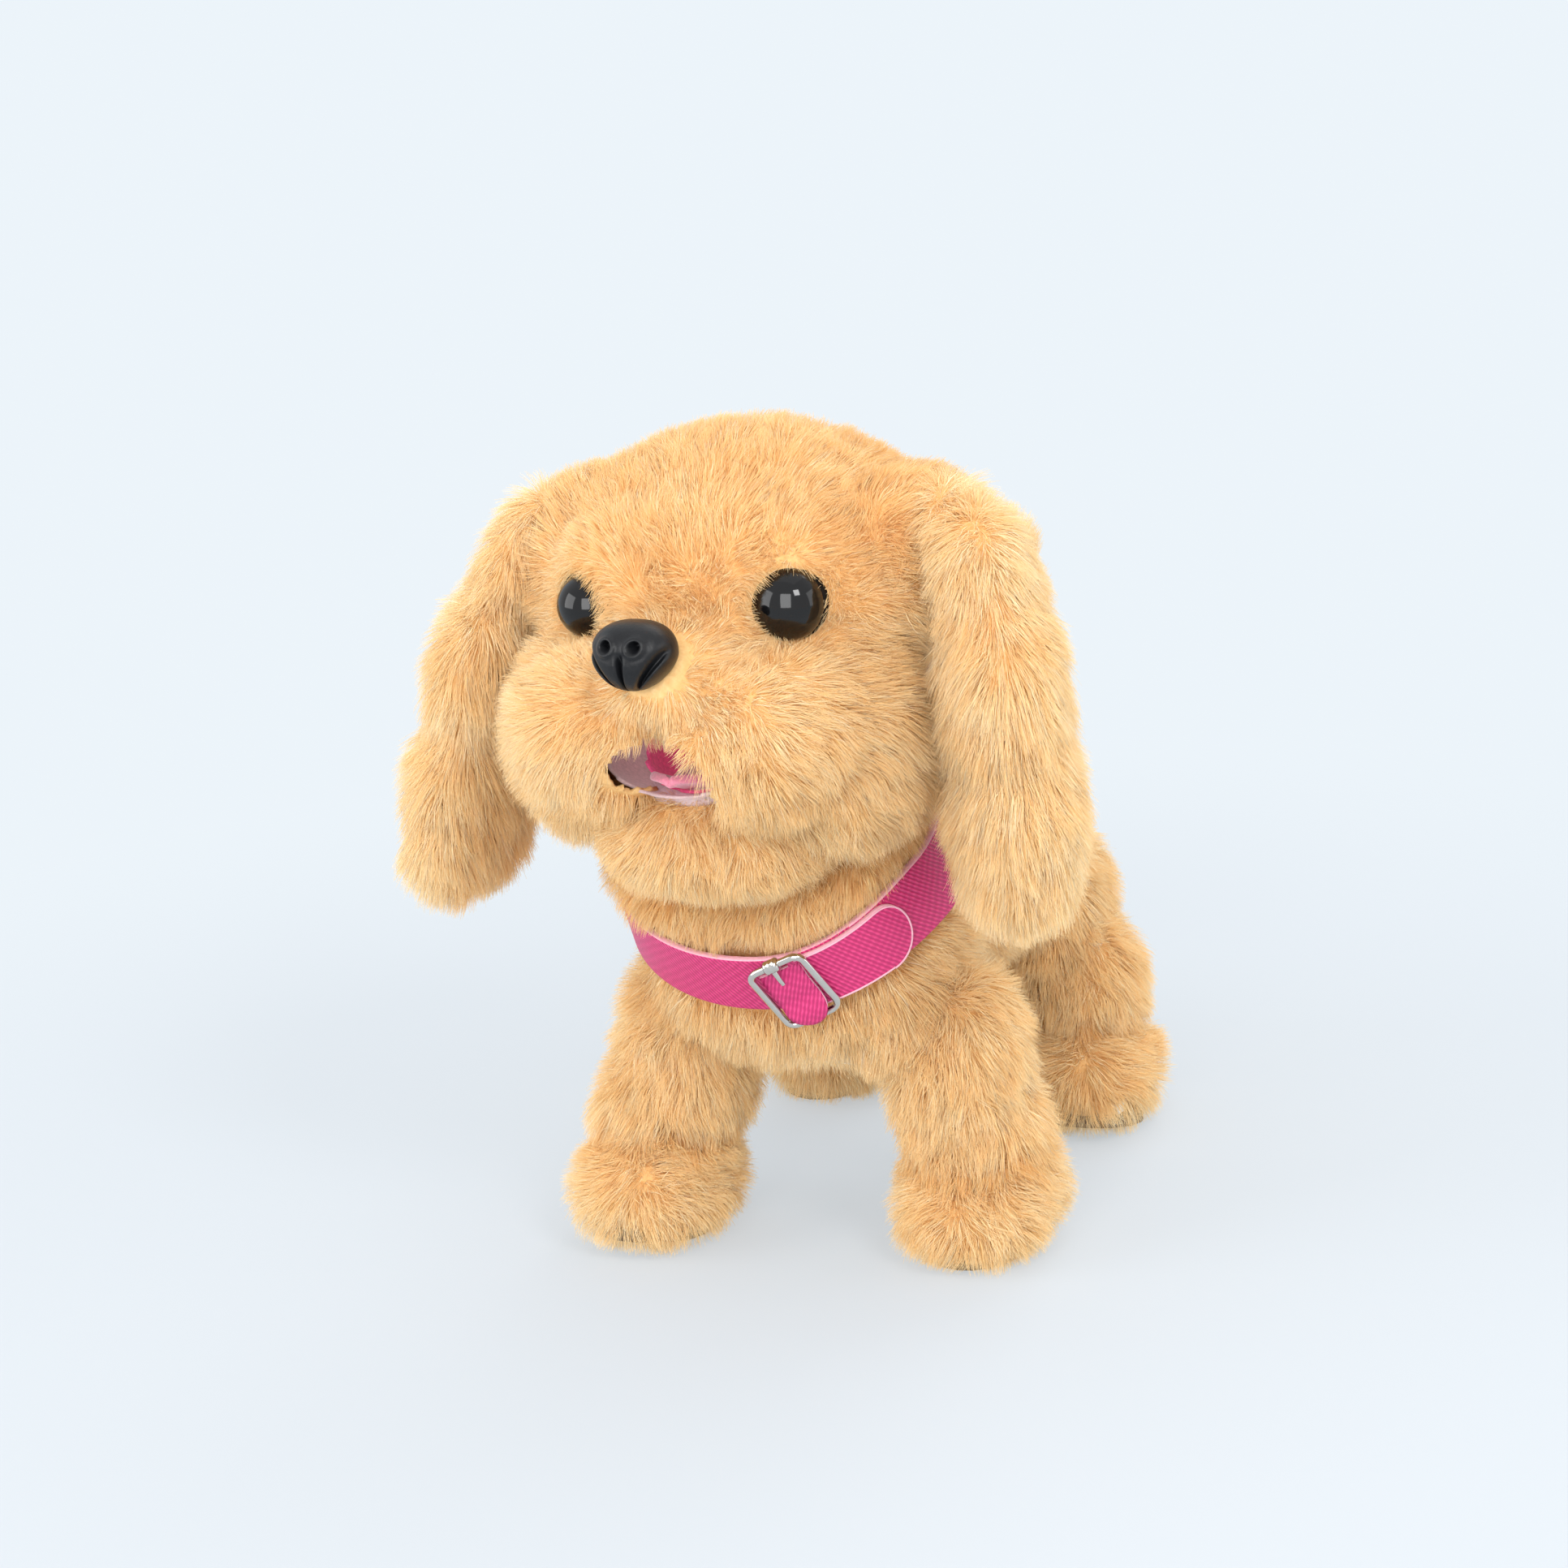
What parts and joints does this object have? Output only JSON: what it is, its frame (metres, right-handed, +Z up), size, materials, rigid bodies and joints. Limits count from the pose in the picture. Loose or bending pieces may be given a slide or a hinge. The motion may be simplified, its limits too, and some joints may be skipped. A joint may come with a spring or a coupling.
{
  "type": "walking plush puppy toy",
  "caption": "Battery-driven plush puppy that walks: crank-driven legs, nodding head, opening jaw, wagging tail and a buckled collar.",
  "frame": {"origin": "bottom centre of the whole toy's box, on the floor, in the mid-plane", "axes": "+Z up; the puppy faces -Y; +X is its left side"},
  "size_m": [0.1476, 0.2399, 0.197],
  "materials": {
    "golden_plush": "long golden plush pile",
    "ivory_plastic": "moulded, matte",
    "gear_plastic": "moulded acetal, satin",
    "black_plastic": "moulded, matte",
    "gloss_black": "polished dome",
    "satin_black": "moulded, satin",
    "steel": "bright steel",
    "nickel": "bright nickel plate",
    "collar_pink": "grained imitation leather",
    "tongue_felt": "pink felt",
    "mouth_fabric": "short-pile dark lining",
    "sole_rubber": "moulded rubber",
    "cell_jacket": "plain printed-free jacket",
    "board_green": "laminate with solder mask"
  },
  "bodies": {
    "chassis": {"chassis_lower_shell": "ivory_plastic", "chassis_upper_shell": "ivory_plastic", "battery_door": "black_plastic", "battery_door_screw": "steel", "battery_left": "cell_jacket", "battery_right": "cell_jacket", "battery_contact_front": "steel", "battery_contact_rear": "steel", "motor": "steel", "gearbox_frame": "ivory_plastic", "speaker": "black_plastic", "circuit_board": "board_green", "front_hip_axle": "steel", "rear_hip_axle": "steel", "body_fur_cover": "golden_plush", "collar_strap": "collar_pink", "collar_buckle_frame": "nickel", "casing_screw_front": "steel", "casing_screw_rear": "steel", "idler_axle": "steel", "tail_pin": "steel", "neck_pin": "steel"},
    "buckle_prong": {"collar_buckle_prong": "nickel"},
    "power_switch": {"power_switch_slider": "black_plastic"},
    "crank": {"crank_shaft": "steel", "crank_left": "gear_plastic", "crank_right": "gear_plastic", "drive_gear": "gear_plastic"},
    "idler": {"idler_gear": "gear_plastic"},
    "pinion": {"motor_pinion": "gear_plastic"},
    "head": {"head_shell_front": "ivory_plastic", "head_shell_back": "ivory_plastic", "eye_left": "gloss_black", "eye_right": "gloss_black", "nose": "satin_black", "head_fur_cover": "golden_plush", "mouth_lining": "mouth_fabric", "jaw_pin": "steel"},
    "jaw": {"jaw_frame": "ivory_plastic", "tongue": "tongue_felt", "jaw_fur": "golden_plush"},
    "ear_left": {"ear_left": "golden_plush"},
    "ear_right": {"ear_right": "golden_plush"},
    "tail": {"tail_core": "ivory_plastic", "tail_fur": "golden_plush"},
    "leg_front_left": {"leg_arm_front_left": "ivory_plastic", "foot_sole_front_left": "sole_rubber", "leg_fur_front_left": "golden_plush"},
    "leg_front_right": {"leg_arm_front_right": "ivory_plastic", "foot_sole_front_right": "sole_rubber", "leg_fur_front_right": "golden_plush"},
    "leg_rear_left": {"leg_arm_rear_left": "ivory_plastic", "foot_sole_rear_left": "sole_rubber", "leg_fur_rear_left": "golden_plush"},
    "leg_rear_right": {"leg_arm_rear_right": "ivory_plastic", "foot_sole_rear_right": "sole_rubber", "leg_fur_rear_right": "golden_plush"},
    "side_rod_left": {"side_rod_left": "gear_plastic"},
    "side_rod_right": {"side_rod_right": "gear_plastic"}
  },
  "joints": [
    {"name": "leg_front_left_swing", "type": "hinge", "parent": "chassis", "child": "leg_front_left", "pos_m": [0, -0.037, 0.062], "axis": [1, 0, 0], "range_deg": [-15.5, 2.5]},
    {"name": "leg_front_right_swing", "type": "hinge", "parent": "chassis", "child": "leg_front_right", "pos_m": [0, -0.037, 0.062], "axis": [1, 0, 0], "range_deg": [-2.5, 15.5]},
    {"name": "leg_rear_left_swing", "type": "hinge", "parent": "chassis", "child": "leg_rear_left", "pos_m": [0, 0.06, 0.062], "axis": [1, 0, 0], "range_deg": [-2.5, 15.5]},
    {"name": "leg_rear_right_swing", "type": "hinge", "parent": "chassis", "child": "leg_rear_right", "pos_m": [0, 0.06, 0.062], "axis": [1, 0, 0], "range_deg": [-15.5, 2.5]},
    {"name": "side_rod_left_pivot", "type": "hinge", "parent": "leg_front_left", "child": "side_rod_left", "pos_m": [0.0262, -0.03807, 0.07144], "axis": [1, 0, 0], "range_deg": [-2.5, 15.5]},
    {"name": "side_rod_right_pivot", "type": "hinge", "parent": "leg_front_right", "child": "side_rod_right", "pos_m": [-0.0262, -0.03592, 0.07144], "axis": [1, 0, 0], "range_deg": [-15.5, 2.5]},
    {"name": "crank_spin", "type": "hinge", "parent": "chassis", "child": "crank", "pos_m": [0, -0.037, 0.081], "axis": [1, 0, 0], "continuous": true},
    {"name": "idler_spin", "type": "hinge", "parent": "chassis", "child": "idler", "pos_m": [0.0098, -0.0226, 0.081], "axis": [1, 0, 0], "continuous": true},
    {"name": "pinion_spin", "type": "hinge", "parent": "chassis", "child": "pinion", "pos_m": [0.0118, -0.00991, 0.07638], "axis": [1, 0, 0], "continuous": true},
    {"name": "head_nod", "type": "hinge", "parent": "chassis", "child": "head", "pos_m": [0, -0.038, 0.118], "axis": [1, 0, 0], "range_deg": [-8, 8]},
    {"name": "jaw_open", "type": "hinge", "parent": "head", "child": "jaw", "pos_m": [0, -0.06, 0.12], "axis": [1, 0, 0], "range_deg": [-3, 10]},
    {"name": "ear_left_flop", "type": "hinge", "parent": "head", "child": "ear_left", "pos_m": [0.051, -0.061, 0.18], "axis": [0, 1, 0], "range_deg": [-50, 3]},
    {"name": "ear_right_flop", "type": "hinge", "parent": "head", "child": "ear_right", "pos_m": [-0.051, -0.061, 0.18], "axis": [0, 1, 0], "range_deg": [-3, 50]},
    {"name": "tail_wag", "type": "hinge", "parent": "chassis", "child": "tail", "pos_m": [0, 0.074, 0.097], "axis": [0, 0, 1], "range_deg": [-20, 20]},
    {"name": "power_switch_travel", "type": "slide", "parent": "chassis", "child": "power_switch", "axis": [0, 1, 0], "range_m": [0, 0.004]},
    {"name": "buckle_prong_lift", "type": "hinge", "parent": "chassis", "child": "buckle_prong", "pos_m": [0.01034, -0.07789, 0.0803], "axis": [-0.8979, -0.0992, -0.4289], "range_deg": [0, 70]}
  ],
  "couplings": [
    {"joint": "leg_rear_right_swing", "follows": "leg_front_left_swing", "ratio": 1},
    {"joint": "leg_front_right_swing", "follows": "leg_front_left_swing", "ratio": -1},
    {"joint": "leg_rear_left_swing", "follows": "leg_front_left_swing", "ratio": -1},
    {"joint": "side_rod_left_pivot", "follows": "leg_front_left_swing", "ratio": -1},
    {"joint": "side_rod_right_pivot", "follows": "leg_front_left_swing", "ratio": 1},
    {"joint": "idler_spin", "follows": "crank_spin", "ratio": -3},
    {"joint": "pinion_spin", "follows": "crank_spin", "ratio": 12}
  ]
}
